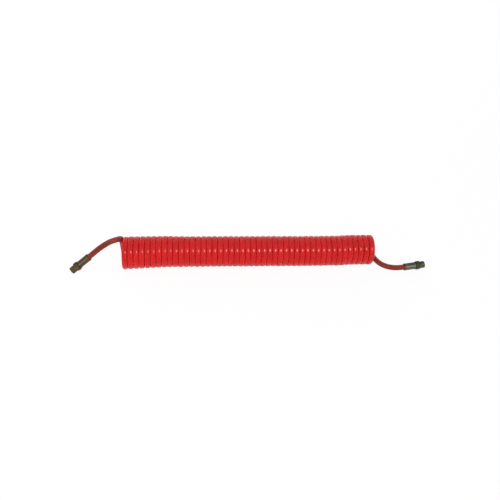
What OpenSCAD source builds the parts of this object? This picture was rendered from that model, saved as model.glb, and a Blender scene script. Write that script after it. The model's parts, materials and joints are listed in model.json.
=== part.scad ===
// Coiled compressed-air hose with a crimped swivel fitting on each end.
// The coil lies along X with its axis level, and both hose ends leave it toward -Y.

/* [Hose] */
// Outside diameter of the hose
hose_d = 10; // [9.8:0.1:10.4]
// Bore of the hose
hose_bore = 6.5; // [6.2:0.1:6.8]
// Sides of the hose section on the two free ends
tail_sides = 12; // [8:2:16]

/* [Coil] */
// Outside diameter of the coil
coil_d = 57; // [52:1:62]
// Full turns in the coil, less the eighth of a turn that the last one stops short
coil_turns = 46; // [20:1:60]
// Space left between one turn and the next
turn_gap = 0.45; // [0.42:0.01:2]
// Thickness of one turn along the coil, a little less than across it
turn_w = 9.6; // [9.2:0.1:10]
// Depth of the flat that the coil lies on
coil_flat = 1; // [0.5:0.1:1.5]
// Straight end of the coil's hose, before it meets a free end
stub = 10; // [10:1:14]

/* [Ferrule] */
// Outside diameter of the ferrule
ferrule_d = 13.4; // [12.8:0.1:14]
// Length of the ferrule
ferrule_len = 23; // [18:0.5:26]
// Distance across the crimped flats
crimp_flats = 12.8; // [12.2:0.1:14]
// Flats pressed round the ferrule
crimp_count = 8; // [6:1:12]
// Length of the round band left at each end of the ferrule
band_len = 2.5; // [1.5:0.5:4]
// Thickness of the inward flange that holds the stem
flange_t = 2; // [1.5:0.1:3]

/* [Stem] */
// Distance from the ferrule's mouth to the stem's inner end
stem_inset = 3; // [2:0.5:6]
// Air bore through the stem
stem_bore = 4.4; // [3.6:0.1:4.6]
// Diameter over the barbs
barb_d = 6.7; // [6.6:0.1:7]
// Number of barbs
barb_count = 5; // [3:1:7]
// Diameter of the neck under the ferrule's flange
neck_d = 6; // [5.6:0.1:6.2]
// Diameter of the spigot that turns in the nipple
spigot_d = 8.6; // [8.2:0.1:9]
// Length of the spigot
spigot_len = 8.4; // [8:0.1:9.5]

/* [Nipple] */
// Distance across the hexagon's flats
hex_flats = 15; // [14:1:19]
// Width of the hexagon
hex_w = 7; // [5:0.5:10]
// Major diameter of the male thread
thread_d = 13.16; // [13:0.01:14]
// Length of the male thread with its chamfer
thread_len = 10; // [8:0.5:14]
// Chamfer at the start of the thread
thread_chamfer = 1; // [0.5:0.1:1.5]
// Chamfer on the hexagon's corners
hex_chamfer = 0.6; // [0.2:0.1:1]
// Air bore through the nipple
nipple_bore = 6; // [4.5:0.1:6.6]

/* [Rings] */
// Thickness of the wire ring that keeps the nipple on
wire_t = 1.2; // [1:0.05:1.4]
// Distance from the spigot's root to the wire ring
wire_place = 2.8; // [2.6:0.1:3.2]
// Thickness of the O-ring
oring_t = 1.2; // [1:0.05:1.3]
// Distance from the spigot's root to the O-ring
oring_place = 6; // [5.6:0.1:6.6]
// Thickness of the washer that the hexagon turns on
washer_t = 0.6; // [0.4:0.1:1]
// Outside diameter of the washer
washer_d = 12; // [11:0.1:12.4]

/* [Fits] */
// Depth that a barb presses into the hose, which is widened to its seat on the barbs
barb_bite = 0.1; // [0.05:0.01:0.15]
// Radial clearance of the spigot in the nipple
swivel_clear = 0.05; // [0.02:0.01:0.1]
// Radial clearance of the hose in the ferrule
hose_clear = 0.05; // [0.02:0.01:0.2]
// Clearance all round a ring in its groove
ring_clear = 0.05; // [0.02:0.01:0.1]
// Radial clearance of the neck in the flange
neck_clear = 0.05; // [0.02:0.01:0.1]
// Radial clearance of the washer on the spigot
washer_clear = 0.1; // [0.05:0.01:0.2]
// Gap between the washer and the turning hexagon
face_gap = 0.1; // [0.05:0.05:0.3]
// Room left in the socket beyond the spigot's end
end_play = 0.3; // [0.1:0.1:1]

/* [Hidden] */

red = [0.8, 0.17, 0.16];
dark_red = [0.62, 0.2, 0.19];
bronze = [0.42, 0.34, 0.25];
olive = [0.27, 0.27, 0.21];
brass = [0.6, 0.5, 0.3];
steel = [0.6, 0.6, 0.62];
rubber = [0.1, 0.1, 0.1];

round_fn = 48;
rings_per_turn = 8;
// Length by which cuts run past the solid that they cut
over = 1;
// Brings the middle of the whole hose, seen from above, to the origin
shift = [-7.4, 0, 0];

// Coil
pitch = turn_w + turn_gap;
wind_r = (coil_d - hose_d) / 2;
axis_z = coil_d / 2 - coil_flat;
start_angle = -180;
last_ring = coil_turns * rings_per_turn - 1;
coil_len = pitch * last_ring / rings_per_turn;
climb = atan(pitch / (360 * wind_r * PI / 180));

// Points below the coil's axis at its two end rings, which the places below start from
inlet_foot = [-coil_len / 2, 0, 0];
outlet_foot = [coil_len / 2, 0, 0];

// Middles of the two ferrule mouths, and their headings and pitches
inlet_mouth = inlet_foot + [-58.4, -7.3, 27];
inlet_turn = [203, -32.5];
outlet_mouth = outlet_foot + [67.3, -26.1, 6.8];
outlet_turn = [7, 2];

// Way points of the free ends from the coil to the ferrules, counted from the same feet
inlet_way = [
    [-1.4, 19, 46], [-2.6, 13.5, 51.5], [-5.8, 8.5, 55], [-11, 5, 56.5], [-17.5, 3, 55.5],
    [-24, 1.2, 52.8], [-30.5, -0.5, 49], [-37, -2, 44.7], [-43.5, -3.7, 39.7], [-50, -5.1, 34]
];
outlet_way = [
    [2, 27.5, 27], [4, 26, 17], [7.5, 20, 8.5], [11.5, 12, 5.2], [15, 3, 5], [18, -5, 5],
    [22, -12, 5], [28, -18, 5], [35.5, -22.3, 5], [44, -25, 5.1], [52, -26.4, 5.5], [59.5, -26.7, 6.2]
];

// Lengths along a fitting, counted from the ferrule's mouth
flange_at = ferrule_len - flange_t;
spigot_at = ferrule_len;
spigot_end = spigot_at + spigot_len;
socket_end = spigot_end + end_play;
wire_at = spigot_at + wire_place;
oring_at = spigot_at + oring_place;
hex_at = spigot_at + washer_t + face_gap;
thread_at = hex_at + hex_w;
tip_at = thread_at + thread_len;

hose_r = hose_d / 2;
bore_r = hose_bore / 2;
seat_r = barb_d / 2 - barb_bite;
ferrule_r = ferrule_d / 2;
neck_r = neck_d / 2;
stem_bore_r = stem_bore / 2;
spigot_r = spigot_d / 2;
socket_r = spigot_r + swivel_clear;
thread_r = thread_d / 2;
wire_mid_r = socket_r;
oring_mid_r = socket_r - ring_clear - oring_t / 2;

// A barb's slope and its flat crest, as shares of its length
barb_slope = 0.7;
barb_crest = 0.2;

function unit(v) = v / norm(v);

// The coil's centreline and its frame: along, out from the axis, and across
function wind_angle(i) = start_angle + i * 360 / rings_per_turn;
function wind_out(i) = [0, -cos(wind_angle(i)), sin(wind_angle(i))];
function wind_turn(i) = [0, sin(wind_angle(i)), cos(wind_angle(i))];
function wind_dir(i) = unit([sin(climb), 0, 0] + cos(climb) * wind_turn(i));
function wind_at(i) =
    [i * pitch / rings_per_turn - coil_len / 2, 0, axis_z] + wind_r * wind_out(i);
function wind_side(i) = cross(wind_dir(i), wind_out(i));

// The hose's six-sided section in the coil: shares of its half widths outward and across,
// with a corner outward and flats toward the next turns
coil_corners = [[1, 0], [0.5, 1], [-0.5, 1], [-1, 0], [-0.5, -1], [0.5, -1]];
coil_sides = len(coil_corners);
function coil_ring(p, out, side) = [
    for (c = coil_corners) p + hose_r * c[0] * out + turn_w / 2 * c[1] * side
];
coil_start = wind_at(0) - stub * wind_dir(0);
coil_end = wind_at(last_ring) + stub * wind_dir(last_ring);
coil_rings = concat(
    [coil_ring(coil_start, wind_out(0), wind_side(0))],
    [for (i = [0:last_ring]) coil_ring(wind_at(i), wind_out(i), wind_side(i))],
    [coil_ring(coil_end, wind_out(last_ring), wind_side(last_ring))]
);

// Least gap of a run of rings to the hose about one turn further on
function edge_gap(p, a, b) =
    let (t = max(0, min(1, (p - a) * (b - a) / ((b - a) * (b - a)))))
    norm(p - a - t * (b - a));
function run_gap(from, to) = min([
    for (i = [from:to])
        for (j = [i + rings_per_turn - 2:min(i + rings_per_turn + 2, last_ring + 1)])
            for (p = coil_rings[i]) for (k = [0:coil_sides - 1])
                edge_gap(p, coil_rings[j][k], coil_rings[j + 1][k])
]);

// Fittings: direction, and a point at a length along the fitting
function fit_dir(turn) = [
    cos(turn[1]) * cos(turn[0]), cos(turn[1]) * sin(turn[0]), sin(turn[1])
];
function fit_at(mouth, turn, s) = mouth + s * fit_dir(turn);

// Free ends: the coil's end, the way points and the run inside the ferrule
function tail_path(first, foot, way, mouth, turn) = concat(
    [first], [for (p = way) foot + p], [mouth, fit_at(mouth, turn, flange_at)]
);
inlet_path = tail_path(coil_start, inlet_foot, inlet_way, inlet_mouth, inlet_turn);
outlet_path = tail_path(coil_end, outlet_foot, outlet_way, outlet_mouth, outlet_turn);

// Ring directions: given at both ends, and halfway between neighbours elsewhere
function path_dir(p, i, first, last) =
    i == 0 ? first :
    i >= len(p) - 2 ? last :
    unit(unit(p[i + 1] - p[i]) + unit(p[i] - p[i - 1]));

// Upright of a ring, carried square to the hose from one ring to the next
function carry(up, d) = unit(up - d * (up * d));
function carried(dirs, i) =
    i == 0 ? carry([1, 0, 0], dirs[0]) : carry(carried(dirs, i - 1), dirs[i]);

// Triangles of a skin over a run of rings, whose first corner has the index given
function skin(first, rings, sides) = [
    for (i = [0:rings - 2]) for (k = [0:sides - 1])
        let (a = first + i * sides + k, b = first + i * sides + (k + 1) % sides)
        for (t = [[a, b + sides, b], [a, a + sides, b + sides]]) t
];
// Triangles of the flat end between an outer and an inner ring
function rim(outer, inner, sides) = [
    for (k = [0:sides - 1]) let (n = (k + 1) % sides)
        for (t = [[outer + k, outer + n, inner + n], [outer + k, inner + n, inner + k]]) t
];
// Triangles of a flat end without a hole
function cap(first, sides) = [for (k = [1:sides - 2]) [first, first + k, first + k + 1]];
function flipped(faces) = [for (t = faces) [t[2], t[1], t[0]]];

// Hollow tube along a path, as one skin of triangles, with its last run seated on the barbs
module tube(path, first, last, sides) {
    rings = len(path);
    dirs = [for (i = [0:rings - 1]) path_dir(path, i, first, last)];
    ups = [for (i = [0:rings - 1]) carried(dirs, i)];
    outer_radii = [for (i = [0:rings - 1]) hose_r];
    inner_radii = [for (i = [0:rings - 1]) i < rings - 2 ? bore_r : seat_r];
    points = [
        for (radii = [outer_radii, inner_radii]) for (i = [0:rings - 1]) for (k = [0:sides - 1])
            path[i] + radii[i] * (cos(k * 360 / sides) * ups[i]
                + sin(k * 360 / sides) * cross(dirs[i], ups[i]))
    ];
    inner = rings * sides;
    end = inner - sides;
    faces = concat(
        skin(0, rings, sides), flipped(skin(inner, rings, sides)),
        rim(0, inner, sides), flipped(rim(end, inner + end, sides))
    );
    polyhedron(points, faces, convexity = 6);
}

module place(mouth, turn) {
    translate(shift + mouth) rotate([0, 90 - turn[1], turn[0]]) children();
}

module disc(r, from, to) {
    translate([0, 0, from]) cylinder(r = r, h = to - from, $fn = round_fn);
}

module hose_coil() {
    rings = len(coil_rings);
    points = [for (r = coil_rings) for (p = r) p];
    faces = concat(
        cap(0, coil_sides), skin(0, rings, coil_sides),
        flipped(cap((rings - 1) * coil_sides, coil_sides))
    );
    ends = 2 * rings_per_turn;
    echo(least_gap_of_the_coil_to_itself =
        min(run_gap(0, ends), run_gap(last_ring - ends, last_ring - rings_per_turn / 2)));
    color(red) translate(shift) difference() {
        polyhedron(points, faces, convexity = 10);
        translate([-coil_len, -coil_d, -coil_d]) cube([2 * coil_len, 2 * coil_d, coil_d]);
    }
}

module hose_tail_inlet() {
    color(dark_red) translate(shift)
        tube(inlet_path, -wind_dir(0), fit_dir(inlet_turn), tail_sides);
}

module hose_tail_outlet() {
    color(dark_red) translate(shift)
        tube(outlet_path, wind_dir(last_ring), fit_dir(outlet_turn), tail_sides);
}

// Crimped sleeve: round bands at both ends, pressed flats between, a flange inside
module ferrule() {
    difference() {
        union() {
            disc(ferrule_r, 0, band_len);
            intersection() {
                disc(ferrule_r, 0, ferrule_len);
                cylinder(r = crimp_flats / 2 / cos(180 / crimp_count), h = ferrule_len, $fn = crimp_count);
            }
            disc(ferrule_r, ferrule_len - band_len, ferrule_len);
        }
        disc(hose_r + hose_clear, -over, flange_at);
        disc(neck_r + neck_clear, flange_at - over, ferrule_len + over);
    }
}

// Barbed stem: barbs in the hose, a neck in the flange and a spigot in the nipple
module stem() {
    barb_len = (flange_at - stem_inset) / barb_count;
    outline = concat(
        [[stem_bore_r, stem_inset]],
        [
            for (i = [0:barb_count - 1])
                for (p = [[neck_r, 0], [barb_d / 2, barb_slope], [barb_d / 2, barb_slope + barb_crest]])
                    [p[0], stem_inset + (i + p[1]) * barb_len]
        ],
        [
            [neck_r, flange_at], [neck_r, spigot_at],
            [spigot_r, spigot_at], [spigot_r, spigot_end], [stem_bore_r, spigot_end]
        ]
    );
    difference() {
        rotate_extrude($fn = round_fn) polygon(outline);
        groove(wire_at, wire_t / 2, wire_mid_r);
        groove(oring_at, oring_t / 2, oring_mid_r);
    }
}

// Square groove cut into the spigot for a ring of section radius t
module groove(at, t, mid) {
    difference() {
        disc(spigot_d, at - t - ring_clear, at + t + ring_clear);
        disc(mid - t - ring_clear, at - t - over, at + t + over);
    }
}

module ring(at, t, mid) {
    translate([0, 0, at]) rotate_extrude($fn = round_fn) translate([mid, 0]) circle(r = t, $fn = round_fn);
}
module wire_ring() { ring(wire_at, wire_t / 2, wire_mid_r); }
module oring() { ring(oring_at, oring_t / 2, oring_mid_r); }

// Flat washer between the ferrule's end and the turning hexagon
module washer() {
    difference() {
        disc(washer_d / 2, spigot_at, spigot_at + washer_t);
        disc(spigot_r + washer_clear, spigot_at - over, spigot_at + washer_t + over);
    }
}

// Nipple: hexagon and male thread in one piece, with the socket for the spigot
module nipple() {
    corner = hex_flats / 2 / cos(30);
    wire_r = wire_mid_r + wire_t / 2 + ring_clear;
    wire_half = wire_t / 2 + ring_clear;
    difference() {
        union() {
            intersection() {
                translate([0, 0, hex_at]) rotate([0, 0, 30]) cylinder(r = corner, h = hex_w, $fn = 6);
                rotate_extrude($fn = round_fn) polygon([
                    [0, hex_at], [hex_flats / 2, hex_at], [corner, hex_at + hex_chamfer],
                    [corner, thread_at - hex_chamfer], [hex_flats / 2, thread_at], [0, thread_at]
                ]);
            }
            disc(thread_r, thread_at - over, tip_at - thread_chamfer);
            translate([0, 0, tip_at - thread_chamfer]) cylinder(
                r1 = thread_r, r2 = thread_r - thread_chamfer, h = thread_chamfer, $fn = round_fn
            );
        }
        disc(socket_r, hex_at - over, socket_end);
        disc(nipple_bore / 2, socket_end - over, tip_at + over);
        disc(wire_r, wire_at - wire_half, wire_at + wire_half);
    }
}

module ferrule_inlet() { color(bronze) place(inlet_mouth, inlet_turn) ferrule(); }
module stem_inlet() { color(brass) place(inlet_mouth, inlet_turn) stem(); }
module wire_ring_inlet() { color(steel) place(inlet_mouth, inlet_turn) wire_ring(); }
module oring_inlet() { color(rubber) place(inlet_mouth, inlet_turn) oring(); }
module washer_inlet() { color(steel) place(inlet_mouth, inlet_turn) washer(); }
module nipple_inlet() { color(bronze) place(inlet_mouth, inlet_turn) nipple(); }

module ferrule_outlet() { color(olive) place(outlet_mouth, outlet_turn) ferrule(); }
module stem_outlet() { color(brass) place(outlet_mouth, outlet_turn) stem(); }
module wire_ring_outlet() { color(steel) place(outlet_mouth, outlet_turn) wire_ring(); }
module oring_outlet() { color(rubber) place(outlet_mouth, outlet_turn) oring(); }
module washer_outlet() { color(steel) place(outlet_mouth, outlet_turn) washer(); }
module nipple_outlet() { color(olive) place(outlet_mouth, outlet_turn) nipple(); }

hose_coil();
hose_tail_inlet();
hose_tail_outlet();
ferrule_inlet();
stem_inlet();
wire_ring_inlet();
oring_inlet();
washer_inlet();
nipple_inlet();
ferrule_outlet();
stem_outlet();
wire_ring_outlet();
oring_outlet();
washer_outlet();
nipple_outlet();
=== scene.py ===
import json
import math

import bpy
import numpy as np
from mathutils import Matrix, Vector


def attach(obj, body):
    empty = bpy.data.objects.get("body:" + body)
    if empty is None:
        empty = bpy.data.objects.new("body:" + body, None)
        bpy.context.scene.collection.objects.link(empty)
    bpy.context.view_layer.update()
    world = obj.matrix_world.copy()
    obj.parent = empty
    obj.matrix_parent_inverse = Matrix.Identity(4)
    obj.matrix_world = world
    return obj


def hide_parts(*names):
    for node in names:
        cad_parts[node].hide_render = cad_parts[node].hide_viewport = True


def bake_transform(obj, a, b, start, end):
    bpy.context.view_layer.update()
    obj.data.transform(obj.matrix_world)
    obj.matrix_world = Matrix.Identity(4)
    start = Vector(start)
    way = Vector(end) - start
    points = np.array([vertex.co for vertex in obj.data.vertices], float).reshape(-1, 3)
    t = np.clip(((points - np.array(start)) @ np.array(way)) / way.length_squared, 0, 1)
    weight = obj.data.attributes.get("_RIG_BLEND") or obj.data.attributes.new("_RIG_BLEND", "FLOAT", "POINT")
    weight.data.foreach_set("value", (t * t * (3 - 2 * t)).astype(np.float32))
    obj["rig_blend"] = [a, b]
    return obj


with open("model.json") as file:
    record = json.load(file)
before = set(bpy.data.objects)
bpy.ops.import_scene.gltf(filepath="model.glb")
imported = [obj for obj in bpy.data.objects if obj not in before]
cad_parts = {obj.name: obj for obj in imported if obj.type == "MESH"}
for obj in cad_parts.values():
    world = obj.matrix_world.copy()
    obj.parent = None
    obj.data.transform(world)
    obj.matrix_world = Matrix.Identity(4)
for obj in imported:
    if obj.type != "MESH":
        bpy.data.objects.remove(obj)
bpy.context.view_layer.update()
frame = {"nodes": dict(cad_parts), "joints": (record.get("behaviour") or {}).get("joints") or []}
joints = {joint["name"]: joint for joint in frame["joints"]}
print("frame loaded")

mm = 0.001  # the pieces are written in millimetres, and a mesh is scaled by this when it is made


def unit(v):
    return v / np.linalg.norm(v)


camera = {
    "aim": (-0.00442, 0.0, 0.0320),  # metres, as its distance is
    "distance": 1.1136,
    "heading": 8.87,
    "height": 45.0,  # how steeply it looks down
    "roll": 5.57,
    "focal": 600.0,  # in pixels of the finished image
    "imageWidth": 500,
}


def buildCamera():
    data = bpy.data.cameras.new("productCamera")
    data.sensor_width = 36.0
    data.lens = camera["focal"] / camera["imageWidth"] * data.sensor_width
    data.clip_start = 0.05
    data.clip_end = 50
    piece = bpy.data.objects.new("productCamera", data)
    bpy.context.scene.collection.objects.link(piece)
    turn, tilt, roll = (math.radians(camera[k]) for k in ("heading", "height", "roll"))
    ahead = Vector((math.sin(turn) * math.cos(tilt), math.cos(turn) * math.cos(tilt), -math.sin(tilt)))
    right = Vector((math.cos(turn), -math.sin(turn), 0))
    up = right.cross(ahead)
    rolledRight = right * math.cos(roll) + up * math.sin(roll)
    rolledUp = up * math.cos(roll) - right * math.sin(roll)
    matrix = Matrix((rolledRight, rolledUp, -ahead)).transposed().to_4x4()
    matrix.translation = Vector(camera["aim"]) - ahead * camera["distance"]
    piece.matrix_world = matrix
    bpy.context.scene.camera = piece


buildCamera()
print("camera placed")


def newMaterial(name):
    material = bpy.data.materials.new(name)
    material.use_nodes = True
    nodes, links = material.node_tree.nodes, material.node_tree.links
    coords = nodes.new("ShaderNodeTexCoord")
    return material, nodes, links, nodes["Principled BSDF"], coords.outputs["Object"]


def addNoise(nodes, links, coords, scale, detail, roughness=0.5):
    noise = nodes.new("ShaderNodeTexNoise")
    noise.inputs["Scale"].default_value = scale
    noise.inputs["Detail"].default_value = detail
    noise.inputs["Roughness"].default_value = roughness
    links.new(coords, noise.inputs["Vector"])
    return noise.outputs["Fac"]


def addRamp(nodes, links, value, low, high, edges=(0.3, 0.7)):
    ramp = nodes.new("ShaderNodeValToRGB")
    for element, position, colour in zip(ramp.color_ramp.elements, edges, (low, high)):
        element.position = position
        element.color = (*colour, 1)
    links.new(value, ramp.inputs["Fac"])
    return ramp.outputs["Color"]


def addBump(nodes, links, shader, height, strength, distance):
    bump = nodes.new("ShaderNodeBump")
    bump.inputs["Strength"].default_value = strength
    bump.inputs["Distance"].default_value = distance
    links.new(height, bump.inputs["Height"])
    links.new(bump.outputs["Normal"], shader.inputs["Normal"])


def grey(value):
    return (value, value, value)


hoseLook = {
    "coilRed": (0.565, 0.0125, 0.0125),
    "coilRedDeep": (0.51, 0.010, 0.0105),
    # the free ends are painted a much darker red than the coil, as painted shade, though the hose is one
    # piece
    "tailShadedRed": (0.19, 0.022, 0.016),
    "tailShadedRedPale": (0.28, 0.036, 0.029),
    "cloudScale": 35.0,
    "cloudEdges": (0.35, 0.65),
    "roughness": (0.18, 0.25),
    "tailRoughness": 0.5,  # the free ends are handled and have lost their gloss
    "grainScale": 260.0,
    "grainStrength": 0.35,
    "grainHeight": 0.00004,
    "shine": 0.24,
    "shineTint": (1.0, 0.65, 0.65),
    "glowRadius": (1.0, 0.5, 0.45),  # how far each colour of light spreads under the skin
    "glowScale": 0.002,
}


def hoseMaterial():
    look = hoseLook
    material, nodes, links, shader, coords = newMaterial("redPolyurethane")
    cloud = addNoise(nodes, links, coords, look["cloudScale"], 3.0)
    coilTone = addRamp(nodes, links, cloud, look["coilRedDeep"], look["coilRed"], look["cloudEdges"])
    tailShadeTone = addRamp(nodes, links, cloud, look["tailShadedRed"], look["tailShadedRedPale"], look["cloudEdges"])
    freeEnd = nodes.new("ShaderNodeAttribute")
    freeEnd.attribute_name = "freeEnd"
    mix = nodes.new("ShaderNodeMix")
    mix.data_type = "RGBA"
    links.new(freeEnd.outputs["Fac"], mix.inputs["Factor"])
    links.new(coilTone, mix.inputs["A"])
    links.new(tailShadeTone, mix.inputs["B"])
    links.new(mix.outputs["Result"], shader.inputs["Base Color"])
    grain = addNoise(nodes, links, coords, look["grainScale"], 4.0)
    gloss = nodes.new("ShaderNodeMix")
    links.new(freeEnd.outputs["Fac"], gloss.inputs["Factor"])
    links.new(addRamp(nodes, links, grain, *map(grey, look["roughness"])), gloss.inputs["A"])
    gloss.inputs["B"].default_value = look["tailRoughness"]
    links.new(gloss.outputs["Result"], shader.inputs["Roughness"])
    addBump(nodes, links, shader, grain, look["grainStrength"], look["grainHeight"])
    shader.inputs["Specular IOR Level"].default_value = look["shine"]
    shader.inputs["Specular Tint"].default_value = (*look["shineTint"], 1)
    shader.inputs["Subsurface Weight"].default_value = 1.0
    shader.inputs["Subsurface Radius"].default_value = look["glowRadius"]
    shader.inputs["Subsurface Scale"].default_value = look["glowScale"]
    return material


# each plating's colours at its dark end, for tarnish and painted shade, and at its bright end, for wear and
# painted light
platingLook = {
    "bronze": ((0.032, 0.017, 0.008), (0.15, 0.094, 0.056)),
    "yellowBronze": ((0.028, 0.016, 0.006), (0.21, 0.143, 0.063)),
    "olive": ((0.026, 0.024, 0.016), (0.155, 0.150, 0.112)),
    "greenOlive": ((0.023, 0.023, 0.013), (0.17, 0.177, 0.106)),
    "cloudScale": 180.0,
    "cloudShare": 0.3,  # the rest of the tone comes from wear and from painted light and shade
    "toneEdges": (0.12, 0.85),
    "fineScale": 900.0,
    "fineStrength": 0.25,
    "fineHeight": 0.00005,
    "roughness": (0.38, 0.54),
    "metallic": 0.8,
    "shine": 0.25,
}


def platedMaterial(name, colours):
    look = platingLook
    material, nodes, links, shader, coords = newMaterial(name)
    cloud = addNoise(nodes, links, coords, look["cloudScale"], 5.0, 0.6)
    wearAndPaintedLight = nodes.new("ShaderNodeAttribute")
    wearAndPaintedLight.attribute_name = "wearAndPaintedLight"
    tone = nodes.new("ShaderNodeMix")
    tone.inputs["Factor"].default_value = look["cloudShare"]
    links.new(wearAndPaintedLight.outputs["Fac"], tone.inputs["A"])
    links.new(cloud, tone.inputs["B"])
    plating = addRamp(nodes, links, tone.outputs["Result"], *colours, look["toneEdges"])
    links.new(plating, shader.inputs["Base Color"])
    fine = addNoise(nodes, links, coords, look["fineScale"], 3.0)
    links.new(addRamp(nodes, links, fine, *map(grey, look["roughness"])), shader.inputs["Roughness"])
    addBump(nodes, links, shader, fine, look["fineStrength"], look["fineHeight"])
    shader.inputs["Metallic"].default_value = look["metallic"]
    shader.inputs["Specular IOR Level"].default_value = look["shine"]
    return material


plainLooks = {
    "stemBrass": {
        "dark": (0.45, 0.32, 0.14),
        "pale": (0.6, 0.44, 0.2),
        "scale": 300.0,
        "roughness": 0.3,
        "metallic": 1.0,
    },
    "sealRubber": {
        "dark": (0.012, 0.012, 0.012),
        "pale": (0.03, 0.03, 0.03),
        "scale": 500.0,
        "roughness": 0.6,
        "metallic": 0.0,
    },
    "ringSteel": {
        "dark": (0.5, 0.5, 0.52),
        "pale": (0.65, 0.65, 0.66),
        "scale": 400.0,
        "roughness": 0.28,
        "metallic": 1.0,
    },
    "darkWasher": {
        "dark": (0.055, 0.045, 0.032),
        "pale": (0.09, 0.075, 0.055),
        "scale": 500.0,
        "roughness": 0.5,
        "metallic": 0.4,
    },
}


def plainMaterial(name):
    look = plainLooks[name]
    material, nodes, links, shader, coords = newMaterial(name)
    cloud = addNoise(nodes, links, coords, look["scale"], 3.0)
    links.new(addRamp(nodes, links, cloud, look["dark"], look["pale"]), shader.inputs["Base Color"])
    shader.inputs["Roughness"].default_value = look["roughness"]
    shader.inputs["Metallic"].default_value = look["metallic"]
    return material


redHose = hoseMaterial()
bronzePlate = platedMaterial("bronzePlate", platingLook["bronze"])
yellowBronzePlate = platedMaterial("yellowBronzePlate", platingLook["yellowBronze"])
olivePlate = platedMaterial("olivePlate", platingLook["olive"])
greenOlivePlate = platedMaterial("greenOlivePlate", platingLook["greenOlive"])
stemBrass = plainMaterial("stemBrass")
sealRubber = plainMaterial("sealRubber")
ringSteel = plainMaterial("ringSteel")
darkWasher = plainMaterial("darkWasher")
print("materials made")


def makePiece(name, points, faces, material):
    mesh = bpy.data.meshes.new(name)
    mesh.from_pydata([tuple(p) for p in np.asarray(points) * mm], [], faces)
    mesh.polygons.foreach_set("use_smooth", [True] * len(mesh.polygons))
    mesh.materials.append(material)
    mesh.update()
    piece = bpy.data.objects.new(name, mesh)
    bpy.context.scene.collection.objects.link(piece)
    return piece


def addValues(piece, name, values):
    # one number for each point of a piece, which its material reads
    attribute = piece.data.attributes.new(name, "FLOAT", "POINT")
    attribute.data.foreach_set("value", np.asarray(values, np.float32))


def gridFaces(rows, columns, ring=False):
    # quads of a grid that closes on itself across its columns, and as a ring from its last row to its first
    faces = []
    for i in range(rows if ring else rows - 1):
        this, following = i * columns, (i + 1) % rows * columns
        for k in range(columns):
            n = (k + 1) % columns
            faces.append((this + k, this + n, following + n, following + k))
    return faces


# lengths along a fitting are measured from the ferrule's mouth
fitting = {
    "ferruleRadius": 6.7,
    "ferruleLength": 23.0,
    "ferruleRim": 0.6,  # how far its two ends are rounded
    # depths into the mouth and how much wider it is there, so that it doesn't cut the hose
    "mouthFlare": ((1.5, 0.0), (0.5, 0.16), (0.12, 0.3)),
    "bandLength": 2.5,
    "bandBlend": 0.45,  # half the length over which a round band becomes the flats
    "crimpFlats": 12.8,
    "crimpCount": 8,
    "ferruleToneAndFlatSheen": (0.53, 0.5),  # how bright it is on average, and how far a painted highlight down the middle of each flat and painted shade at the edges between flats move that
    "hexFlats": 15.0,
    "hexFrom": 23.7,
    "hexWidth": 7.0,
    "hexFace": 0.25,  # how much smaller than the hexagon the turned face at each of its ends is
    "faceStep": 0.215,
    "hexChamfer": 0.6,
    "chamferDepths": (0.0, 0.12, 0.35),
    "chamferSlope": 1.9,
    "cornerBreak": 0.18,
    "chamferRubbed": 0.3,
    "hexWearAndFlatSheen": (0.12, 0.32, 0.5),  # how bright it is at least, how much more down the middle of its flats as a painted highlight, and how much more at its corners, where spanners have rubbed it
    "threadRadius": 6.58,
    "threadDepth": 0.82,
    "threadPitch": 1.337,
    "threadLength": 10.0,
    "threadChamfer": 0.4,
    "threadRelief": (0.7, 0.8),  # plain length before the thread, and the length over which it grows
    "threadRidge": (1.25, 0.12),  # steepness of its flanks, and how much of a turn its root is wide
    "threadRubbed": (1.2, 0.4),  # how bright its roots are, and how much more its crests
    "rowsPerPitch": 12,
    "bore": 3.0,
    "boreChamfer": (0.3, 0.35),  # along and across
    "socketRadius": 4.35,
    "socketEnd": 31.7,
    "wireAt": 25.8,
    "wireGroove": (5.0, 0.65),  # radius and half the width of the groove for the wire ring
    "hoseSeat": 5.05,
    "flangeAt": 21.0,
    "neckRadius": 3.05,
    "stemFrom": 3.0,
    "stemRadius": 3.25,
    "swivelAt": 27.2,  # where the swivel joint's point lies along the fitting
    "hoseInside": 20.5,
    "sideLightAtBack": 0.2,  # how bright the painted side light leaves the back, the darkest side
    "sharpFrom": 32.0,  # edges that turn by more degrees than this stay crisp
    "columns": 96,
}


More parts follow.
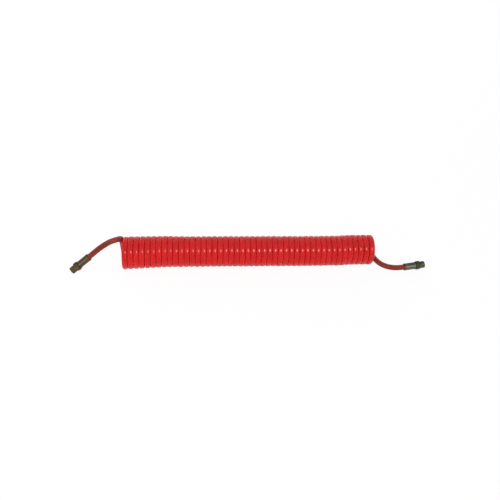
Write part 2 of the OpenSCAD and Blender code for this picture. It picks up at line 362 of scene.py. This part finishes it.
class Fitting:
    # one end of the hose: its mouth, its direction, the plating of its two pieces, how much darker its
    # hexagon is than its thread, and the side painted brightest as if lit from there, in degrees from
    # straight down
    def __init__(self, end, ferrulePlating, nipplePlating, hexDarkening, paintedLitSide):
        joint = joints[end + "_swivel"]
        self.end = end
        self.ferrulePlating = ferrulePlating
        self.nipplePlating = nipplePlating
        self.hexDarkening = hexDarkening
        self.paintedLitSide = math.radians(paintedLitSide)
        self.along = unit(np.array(joint["axis"], float))
        self.mouth = np.array(joint["pos_m"], float) / mm - fitting["swivelAt"] * self.along
        self.side = unit(np.cross([0.0, 0.0, 1.0], self.along))
        self.down = np.cross(self.side, self.along)
        self.angles = [k * 2 * math.pi / fitting["columns"] for k in range(fitting["columns"])]

    def at(self, s):
        return self.mouth + s * self.along

    def around(self, value):
        # value is a number, or a function of the angle from straight down
        return [value(a) if callable(value) else value for a in self.angles]

    def paintedSideLight(self, angle):
        # painted side light: darkest at the back, brightest on the side chosen to look lit
        facing = (1 + math.cos(angle - self.paintedLitSide)) / 2
        return fitting["sideLightAtBack"] + (1 - fitting["sideLightAtBack"]) * facing ** 3

    def turned(self, name, rows, plating):
        # a piece from rows of a place along the fitting, a radius and its tone from wear and painted light
        points = []
        wearAndPaintedLight = []
        for s, radius, bright in rows:
            for a, r in zip(self.angles, self.around(radius)):
                points.append(self.at(s) + r * (math.cos(a) * self.down + math.sin(a) * self.side))
            # each value is scaled by the painted side light
            wearAndPaintedLight += [self.paintedSideLight(a) * b for a, b in zip(self.angles, self.around(bright))]
        faces = gridFaces(len(rows), fitting["columns"], ring=True)
        piece = makePiece(name + self.end.title(), points, faces, plating)
        addValues(piece, "wearAndPaintedLight", wearAndPaintedLight)
        return piece


# the last number of each fitting is the side painted brightest, as if lit from there
inlet = Fitting("inlet", bronzePlate, yellowBronzePlate, 0.0, 125)
outlet = Fitting("outlet", olivePlate, greenOlivePlate, 0.4, -100)

hose = {
    "shift": (-7.4, 0.0, 0.0),  # from the middle of the coil to the middle of the whole hose
    "diameter": 10.0,
    "turns": 46,
    "pitch": 10.05,
    "windRadius": 23.35,
    "startAngle": -180.0,
    "endShort": 45.0,  # how far the last turn stops short of whole, in degrees
    "pointsPerTurn": 48,
    "sides": 32,
    "squareness": 3.2,  # 2 is a round section, and the turns of the coil have pressed each other flatter
    "spread": 0.4,  # how far a turn would swell along the coil, were its neighbours not in the way
    "turnRoom": 5.01,  # half the room that a turn has between its neighbours
    "openTurns": 1.05,  # how much of the coil has no neighbour at the inlet's side, and stays round there
    "openFade": 0.2,
    "tailStep": 1.5,
    "flare": 1.55,  # how much wider the first turn has sprung
    "flareTurns": 12.0,
    "wander": 0.14,  # how far a turn sits off the coil's axis
    "swayWaves": ((1.0, 1.7, 0.0), (0.6, 4.1, 1.0)),  # shares of that, radians for each turn, and phase
    "radiusWave": (0.4, 2.9, 2.0),
    "lean": 1.3,  # how far the turns lean along the coil, low in front and high behind
    "leanTurn": 45.0,  # where round a turn that lean is nought, in degrees
    "lastGap": 1.6,  # how far the last turns have opened
    "gapTurns": 4.0,
    "easeTurns": 0.5,  # over how much of a turn the stretch sets in next to a free end
    "settle": 12.0,  # over what length off the coil the section turns round, the skin dulls and the free ends' painted shade sets in
    "relaxRounds": 14,
    "realLength": 7.07,  # metres
}

# Way points of the two free ends, from the coil to the ferrule's mouth. Each starts from the point
# on the floor below the end of the coil's axis.
inletWay = [
    (-1.4, 19, 46), (-2.6, 13.5, 51.5), (-5.8, 8.5, 55), (-11, 5, 56.5), (-17.5, 3, 55.5),
    (-24, 1.2, 52.8), (-30.5, -0.5, 49), (-37, -2, 44.7), (-43.5, -3.7, 39.7), (-50, -5.1, 34),
]
outletWay = [
    (2, 27.5, 27), (4, 26, 17), (7.5, 20, 8.5), (11.5, 12, 5.2), (15, 3, 5), (18, -5, 5),
    (22, -12, 5), (28, -18, 5), (35.5, -22.3, 5), (44, -25, 5.1), (52, -26.4, 5.5), (59.5, -26.7, 6.2),
]

# How far the coil's axis lies to the back or the front of a straight line, at a few of its turns
axisSway = (
    (0, -1.9), (3, -0.2), (8, 1.7), (17, 1.1), (25, 0.2), (34, -0.9), (39, -0.9), (43, 0.8), (46, 0.4),
)

wholeTurn = 360 * hose["turns"] - hose["endShort"]
coilLength = hose["pitch"] * wholeTurn / 360
shift = np.array(hose["shift"])


def smoothStep(low, high, value):
    t = min(1.0, max(0.0, (value - low) / (high - low)))
    return t * t * (3 - 2 * t)


def swayAt(turn):
    for (a, offA), (b, offB) in zip(axisSway, axisSway[1:]):
        if turn <= b:
            return offA + (offB - offA) * smoothStep(a, b, turn)
    return axisSway[-1][1]


def wave(turn, share, rate, phase):
    return hose["wander"] * share * math.sin(rate * turn + phase)


def coilLine():
    count = round(wholeTurn / 360 * hose["pointsPerTurn"])
    points = []
    for i in range(count + 1):
        turned = wholeTurn * i / count
        turn = turned / 360
        calm = min(1.0, turn, hose["turns"] - turn)  # the ends keep their place
        radius = hose["windRadius"] + hose["flare"] * max(0.0, 1 - turn / hose["flareTurns"])
        radius += calm * wave(turn, *hose["radiusWave"])
        offY = swayAt(turn) + calm * sum(wave(turn, *swayWave) for swayWave in hose["swayWaves"])
        inGap = max(0.0, turn - hose["turns"] + hose["gapTurns"])
        offX = hose["lastGap"] * inGap ** 2 / hose["gapTurns"] ** 2
        angle = math.radians(hose["startAngle"] + turned)
        offX -= hose["lean"] * math.sin(angle - math.radians(hose["leanTurn"]))
        points.append(np.array([
            hose["pitch"] * turn - coilLength / 2 + offX,
            offY - radius * math.cos(angle),
            hose["diameter"] / 2 + radius + radius * math.sin(angle),
        ]))
    return points


def throughPoints(points, step):
    # centripetal curve through the points, sampled every step
    points = [np.array(p, float) for p in points]
    line = []
    for i in range(1, len(points) - 2):
        p0, p1, p2, p3 = points[i - 1:i + 3]
        t1 = np.linalg.norm(p1 - p0) ** 0.5
        t2 = t1 + np.linalg.norm(p2 - p1) ** 0.5
        t3 = t2 + np.linalg.norm(p3 - p2) ** 0.5
        count = max(2, round(np.linalg.norm(p2 - p1) / step))
        for t in np.linspace(t1, t2, count, endpoint=False):
            a1 = (t1 - t) / t1 * p0 + t / t1 * p1
            a2 = (t2 - t) / (t2 - t1) * p1 + (t - t1) / (t2 - t1) * p2
            a3 = (t3 - t) / (t3 - t2) * p2 + (t - t2) / (t3 - t2) * p3
            b1 = (t2 - t) / t2 * a1 + t / t2 * a2
            b2 = (t3 - t) / (t3 - t1) * a2 + (t - t1) / (t3 - t1) * a3
            line.append((t2 - t) / (t2 - t1) * b1 + (t - t1) / (t2 - t1) * b2)
    line.append(points[-2])
    return line


def relax(line, rounds, held):
    # evens out the bends of a line whose last few points are held
    line = np.array(line)
    for _ in range(rounds):
        inner = (line[:-2] + 2 * line[1:-1] + line[2:]) / 4
        line[1:-1 - held] = inner[:len(inner) - held]
    return line


def freeEnd(coilPoints, foot, way, fit):
    # from the coil's last point out to the end of the hose inside the ferrule
    inside = fit.at(fitting["hoseInside"]) - shift
    wayPoints = [np.add(foot, p) for p in way]
    points = [coilPoints[-4], coilPoints[-1], *wayPoints, fit.mouth - shift, inside, inside + fit.along]
    line = throughPoints(points, hose["tailStep"])
    return relax(line, hose["relaxRounds"], round(fitting["hoseInside"] / hose["tailStep"]))


coilPoints = coilLine()
inletEnd = freeEnd(coilPoints[::-1], (-coilLength / 2, 0, 0), inletWay, inlet)
outletEnd = freeEnd(coilPoints, (coilLength / 2, 0, 0), outletWay, outlet)
line = np.vstack([inletEnd[::-1], coilPoints[1:-1], outletEnd]) + shift
line[:, 2] = np.maximum(line[:, 2], hose["diameter"] / 2)
firstOnCoil = len(inletEnd) - 1
lastOnCoil = firstOnCoil + len(coilPoints) - 1
turnsIn = np.clip((np.arange(len(line)) - firstOnCoil) / (lastOnCoil - firstOnCoil), 0, 1) * wholeTurn / 360


def ringFrames(line):
    # a direction and an upright for each point: outward on the coil, and carried on without twist off it
    ahead = np.vstack([line[1:] - line[:-1], line[-1:] - line[-2:-1]])
    ahead /= np.linalg.norm(ahead, axis=1)[:, None]
    along = ahead.copy()
    along[1:-1] = ahead[1:-1] + ahead[:-2]
    along /= np.linalg.norm(along, axis=1)[:, None]
    ups = np.zeros_like(line)
    for i in range(firstOnCoil, lastOnCoil + 1):
        ups[i] = [0.0, line[i][1] - shift[1], line[i][2] - hose["windRadius"] - hose["diameter"] / 2]
    for i in range(firstOnCoil - 1, -1, -1):
        ups[i] = unit(ups[i + 1] - along[i] * (ups[i + 1] @ along[i]))
    for i in range(lastOnCoil + 1, len(line)):
        ups[i] = unit(ups[i - 1] - along[i] * (ups[i - 1] @ along[i]))
    ups -= along * np.sum(ups * along, axis=1)[:, None]
    ups /= np.linalg.norm(ups, axis=1)[:, None]
    return along, ups


def buildHose():
    along, ups = ringFrames(line)
    across = np.cross(along, ups)
    sides = hose["sides"]
    distance = np.concatenate([[0], np.cumsum(np.linalg.norm(np.diff(line, axis=0), axis=1))])
    offCoil = np.maximum(distance[firstOnCoil] - distance, distance - distance[lastOnCoil])
    tone = np.clip(offCoil / hose["settle"], 0, 1)
    angles = (np.arange(sides) * 2 * math.pi / sides)[None, :]
    openSide = np.clip((hose["openTurns"] - turnsIn) / hose["openFade"], 0, 1)[:, None]
    loose = np.maximum(tone[:, None], openSide * (np.sin(angles) * across[:, :1] < 0))
    power = hose["squareness"] + (2 - hose["squareness"]) * loose
    halfHigh = hose["diameter"] / 2
    halfWide = halfHigh + hose["spread"] * (1 - loose)
    outShare, acrossShare = np.abs(np.cos(angles)), np.abs(np.sin(angles))
    radius = ((outShare / halfHigh) ** power + (acrossShare / halfWide) ** power) ** (-1 / power)
    # flat where a turn meets its neighbours, and the least share only keeps the division safe
    radius = np.minimum(radius, hose["turnRoom"] / np.maximum(acrossShare, 0.01))
    outward = np.cos(angles)[:, :, None] * ups[:, None, :] + np.sin(angles)[:, :, None] * across[:, None, :]
    # the skin turns in at both ends, and runs back along the stem as far as that reaches
    bored = round((fitting["hoseInside"] - fitting["stemFrom"]) / hose["tailStep"])
    atPoint = np.concatenate([np.arange(bored)[::-1], np.arange(len(line)), len(line) - 1 - np.arange(bored)])
    radius = radius[atPoint]
    radius[:bored] = fitting["stemRadius"]
    radius[-bored:] = fitting["stemRadius"]
    points = (line[atPoint][:, None, :] + radius[:, :, None] * outward[atPoint]).reshape(-1, 3)
    faces = gridFaces(len(atPoint), sides)
    faces.append(tuple(range(sides))[::-1])
    faces.append(tuple(range(len(points) - sides, len(points))))
    piece = makePiece("coiledHose", points, faces, redHose)
    addValues(piece, "freeEnd", np.repeat(tone[atPoint], sides))
    return piece, distance[-1], atPoint


hosePiece, hoseLength, atPoint = buildHose()
print("hose made, length in mm:", round(hoseLength, 1))


def bumpAcross(angle, count):
    # one in the middle of each of so many equal flats, nought at the edges between them
    step = 2 * math.pi / count
    local = (angle + step / 2) % step - step / 2
    return 1 - (2 * local / step) ** 2


def buildFerrule(fit):
    # a crimped sleeve with a rolled mouth, round bands at its ends and pressed flats between
    f = fitting
    step = 2 * math.pi / f["crimpCount"]

    def pressedAt(s):
        ends = min(s, f["ferruleLength"] - s) - f["bandLength"]
        return smoothStep(-f["bandBlend"], f["bandBlend"], ends)

    def outerAt(s):
        rim = f["ferruleRim"]
        edge = min(s, f["ferruleLength"] - s, rim)
        rolled = rim - math.sqrt(max(0.0, rim ** 2 - (rim - edge) ** 2))

        def radius(angle):
            local = (angle + step / 2) % step - step / 2
            flat = min(f["ferruleRadius"], f["crimpFlats"] / 2 / math.cos(local))
            return f["ferruleRadius"] + (flat - f["ferruleRadius"]) * pressedAt(s) - rolled

        return radius

    def toneAndFlatSheenAt(s):
        # a mean tone, with a painted highlight down the middle of each pressed flat and painted shade at the
        # edges between flats
        mean, change = f["ferruleToneAndFlatSheen"]
        return lambda angle: mean + change * pressedAt(s) * (2 * bumpAcross(angle, f["crimpCount"]) - 1)

    # close together over the rim and over the step from band to flats
    stations = [0, 0.08, 0.2, 0.4, 0.6, 1.2, 1.8, 2.05, 2.3, 2.5, 2.7, 2.95, 3.2, 5, 8]
    stations.append(f["ferruleLength"] / 2)
    stations += [f["ferruleLength"] - s for s in stations[-2::-1]]
    seat, neck = f["hoseSeat"], f["neckRadius"]
    rows = [(depth, seat + wider, 0) for depth, wider in f["mouthFlare"]]
    rows += [(s, outerAt(s), toneAndFlatSheenAt(s)) for s in stations]
    rows += [(f["ferruleLength"], neck, 0), (f["flangeAt"], neck, 0), (f["flangeAt"], seat, 0)]
    return fit.turned("crimpedFerrule", rows, fit.ferrulePlating)


def hexRadius(angle):
    # distance from the axis to the hexagon's outline, with its corners just broken
    local = (angle + math.pi / 6) % (math.pi / 3) - math.pi / 6
    corner = fitting["hexFlats"] / 2 / math.cos(math.pi / 6) - fitting["cornerBreak"]
    return min(corner, fitting["hexFlats"] / 2 / math.cos(local))


def buildNipple(fit):
    # hexagon, relief groove and threaded spigot, turned in one piece
    f = fitting
    hexEnd = f["hexFrom"] + f["hexWidth"]
    tip = hexEnd + f["threadLength"]
    face = f["hexFlats"] / 2 - f["hexFace"]

    def hexWearAndFlatSheen(angle):
        # a painted highlight down the middle of each flat, and narrow corners that spanners have rubbed
        # bright, all darker by the fitting's hexagon darkening
        least, flats, corners = f["hexWearAndFlatSheen"]
        flat = bumpAcross(angle, 6)
        return (1 - fit.hexDarkening) * (least + flats * flat + corners * max(0.0, 1 - 4 * flat))

    def chamferAt(depth):
        # the cone that takes the hexagon's corners off, this deep into its end, and a small step at the face
        if depth == 0:
            return face
        limit = face + f["faceStep"] + depth * f["chamferSlope"]
        return lambda angle: min(hexRadius(angle), limit)

    def ridgeAt(s, angle):
        # nought in the thread's root and one on its flat crest
        phase = ((s - hexEnd) / f["threadPitch"] - angle / (2 * math.pi)) % 1.0
        plain, growth = f["threadRelief"]
        grown = min(1.0, max(0.0, (s - hexEnd - plain) / growth))
        steep, root = f["threadRidge"]
        return grown * min(1.0, max(0.0, (1 - abs(2 * phase - 1)) * steep - root))

    def threadAt(s):
        limit = f["threadRadius"] - f["threadChamfer"] + tip - s
        return lambda angle: min(limit, f["threadRadius"] - f["threadDepth"] * (1 - ridgeAt(s, angle)))

    def threadRubbed(s):
        roots, crests = f["threadRubbed"]
        return lambda angle: roots + crests * ridgeAt(s, angle)

    chamfer = f["chamferDepths"]
    rows = [(f["hexFrom"], f["socketRadius"], 0)]
    rows += [(f["hexFrom"] + depth, chamferAt(depth), f["chamferRubbed"]) for depth in chamfer]
    rows.append((f["hexFrom"] + f["hexChamfer"], hexRadius, hexWearAndFlatSheen))
    rows.append((hexEnd - f["hexChamfer"], hexRadius, hexWearAndFlatSheen))
    rows += [(hexEnd - depth, chamferAt(depth), f["chamferRubbed"]) for depth in reversed(chamfer)]
    steps = round(f["threadLength"] / f["threadPitch"] * f["rowsPerPitch"])
    for i in range(steps + 1):
        s = hexEnd + f["threadLength"] * i / steps
        rows.append((s, threadAt(s), threadRubbed(s)))
    grooveRadius, half = f["wireGroove"]
    along, across = f["boreChamfer"]
    inside = [(tip, f["bore"] + across), (tip - along, f["bore"]), (f["socketEnd"], f["bore"])]
    inside += [(f["socketEnd"], f["socketRadius"]), (f["wireAt"] + half, f["socketRadius"])]
    inside += [(f["wireAt"] + half, grooveRadius), (f["wireAt"] - half, grooveRadius)]
    inside.append((f["wireAt"] - half, f["socketRadius"]))
    rows += [(s, r, 0) for s, r in inside]
    return fit.turned("threadedNipple", rows, fit.nipplePlating)


ferrules = {fit.end: buildFerrule(fit) for fit in (inlet, outlet)}
nipples = {fit.end: buildNipple(fit) for fit in (inlet, outlet)}
for piece in (*ferrules.values(), *nipples.values()):
    piece.data.set_sharp_from_angle(angle=math.radians(fitting["sharpFrom"]))
print("fittings made")

innerFinish = {"stem_": stemBrass, "oring_": sealRubber, "wire_ring_": ringSteel, "washer_": darkWasher}
carriers = {"inlet": ("coil", "inlet_nipple"), "outlet": ("outlet_end", "outlet_nipple")}
for end, (hoseBody, nippleBody) in carriers.items():
    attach(ferrules[end], hoseBody)
    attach(nipples[end], nippleBody)
    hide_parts("ferrule_" + end)
    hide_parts("nipple_" + end)
    for node, material in innerFinish.items():
        for materialSlot in frame["nodes"][node + end].material_slots:
            materialSlot.material = material

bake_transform(hosePiece, "coil", "outlet_end", start=line[firstOnCoil] * mm, end=line[lastOnCoil] * mm)
# Every turn opens by the same amount, so a ring's share of the stretch is its place along the coil,
# eased in and out where the coil runs into the free ends.
turnsLeft = wholeTurn / 360 - turnsIn
ease = hose["easeTurns"]
share = np.where(turnsIn < ease, turnsIn ** 2 / (2 * ease), turnsIn - ease / 2)
share = np.where(turnsLeft < ease, wholeTurn / 360 - ease - turnsLeft ** 2 / (2 * ease), share)
share /= wholeTurn / 360 - ease
stretch = hosePiece.data.attributes["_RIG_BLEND"]
stretch.data.foreach_set("value", np.repeat(share[atPoint], hose["sides"]).astype(np.float32))
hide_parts("hose_coil", "hose_tail_inlet", "hose_tail_outlet")
print("pieces carried")


def addSeenDirectly(nodes, links):
    # one for rays from the camera, a mirror or glass, and nought for the light that bounces about
    path = nodes.new("ShaderNodeLightPath")
    total = path.outputs["Is Camera Ray"]
    for ray in ("Is Glossy Ray", "Is Transmission Ray"):
        add = nodes.new("ShaderNodeMath")
        add.use_clamp = True
        links.new(total, add.inputs[0])
        links.new(path.outputs[ray], add.inputs[1])
        total = add.outputs[0]
    return total


floorLook = {
    "size": 60000.0,
    "below": 0.2,  # how far it lies under the hose
    "colour": (0.93, 0.93, 0.93),
    "roughness": 0.9,
    "whiteSeen": 0.9,  # how much of what the camera sees of it is plain white
}
worldStrength = 0.44


def buildFloor():
    half = floorLook["size"] / 2
    low = -floorLook["below"]
    corners = [(-half, -half, low), (half, -half, low), (half, half, low), (-half, half, low)]
    material = bpy.data.materials.new("paleFloor")
    material.use_nodes = True
    nodes, links = material.node_tree.nodes, material.node_tree.links
    shader = nodes["Principled BSDF"]
    shader.inputs["Base Color"].default_value = (*floorLook["colour"], 1)
    shader.inputs["Roughness"].default_value = floorLook["roughness"]
    glow = nodes.new("ShaderNodeEmission")
    scale = nodes.new("ShaderNodeMath")
    scale.operation = "MULTIPLY"
    scale.inputs[1].default_value = floorLook["whiteSeen"]
    links.new(addSeenDirectly(nodes, links), scale.inputs[0])
    mix = nodes.new("ShaderNodeMixShader")
    links.new(scale.outputs[0], mix.inputs["Fac"])
    links.new(shader.outputs["BSDF"], mix.inputs[1])
    links.new(glow.outputs["Emission"], mix.inputs[2])
    links.new(mix.outputs["Shader"], nodes["Material Output"].inputs["Surface"])
    makePiece("studioFloor", corners, [(0, 1, 2, 3)], material)


def buildWorld():
    world = bpy.data.worlds.new("studio")
    bpy.context.scene.world = world
    world.use_nodes = True
    nodes, links = world.node_tree.nodes, world.node_tree.links
    around = nodes["Background"]
    around.inputs["Color"].default_value = (1, 1, 1, 1)
    around.inputs["Strength"].default_value = worldStrength
    seen = nodes.new("ShaderNodeBackground")
    mix = nodes.new("ShaderNodeMixShader")
    links.new(addSeenDirectly(nodes, links), mix.inputs["Fac"])
    links.new(around.outputs["Background"], mix.inputs[1])
    links.new(seen.outputs["Background"], mix.inputs[2])
    seen.inputs["Color"].default_value = (1, 1, 1, 1)
    links.new(mix.outputs["Shader"], nodes["World Output"].inputs["Surface"])


lightsAim = (0, 0, 0.02)
lights = {
    "key": {"from": (0.15, -0.63, 0.77), "angle": 3.0, "strength": 1.5},
    "soft": {"from": (-0.6, -1.0, 0.95), "size": (1.6, 1.2), "power": 8.5},
    "back": {"from": (-0.3, 1.7, 0.45), "size": (2.2, 0.8), "power": 14.0},
}


def buildLight(name, spec):
    far = "angle" in spec
    data = bpy.data.lights.new(name, "SUN" if far else "AREA")
    if far:
        data.angle = math.radians(spec["angle"])
        data.energy = spec["strength"]
    else:
        data.shape = "RECTANGLE"
        data.size, data.size_y = spec["size"]
        data.energy = spec["power"]
    light = bpy.data.objects.new(name, data)
    bpy.context.scene.collection.objects.link(light)
    light.visible_glossy = far  # the near lamp is too wide to be mirrored as a clean highlight
    light.location = spec["from"]
    light.rotation_mode = "QUATERNION"
    light.rotation_quaternion = (Vector(lightsAim) - Vector(spec["from"])).to_track_quat("-Z", "Y")


buildFloor()
buildWorld()
for name, spec in lights.items():
    buildLight(name, spec)
bpy.context.scene.view_settings.view_transform = "Standard"
print("studio made")
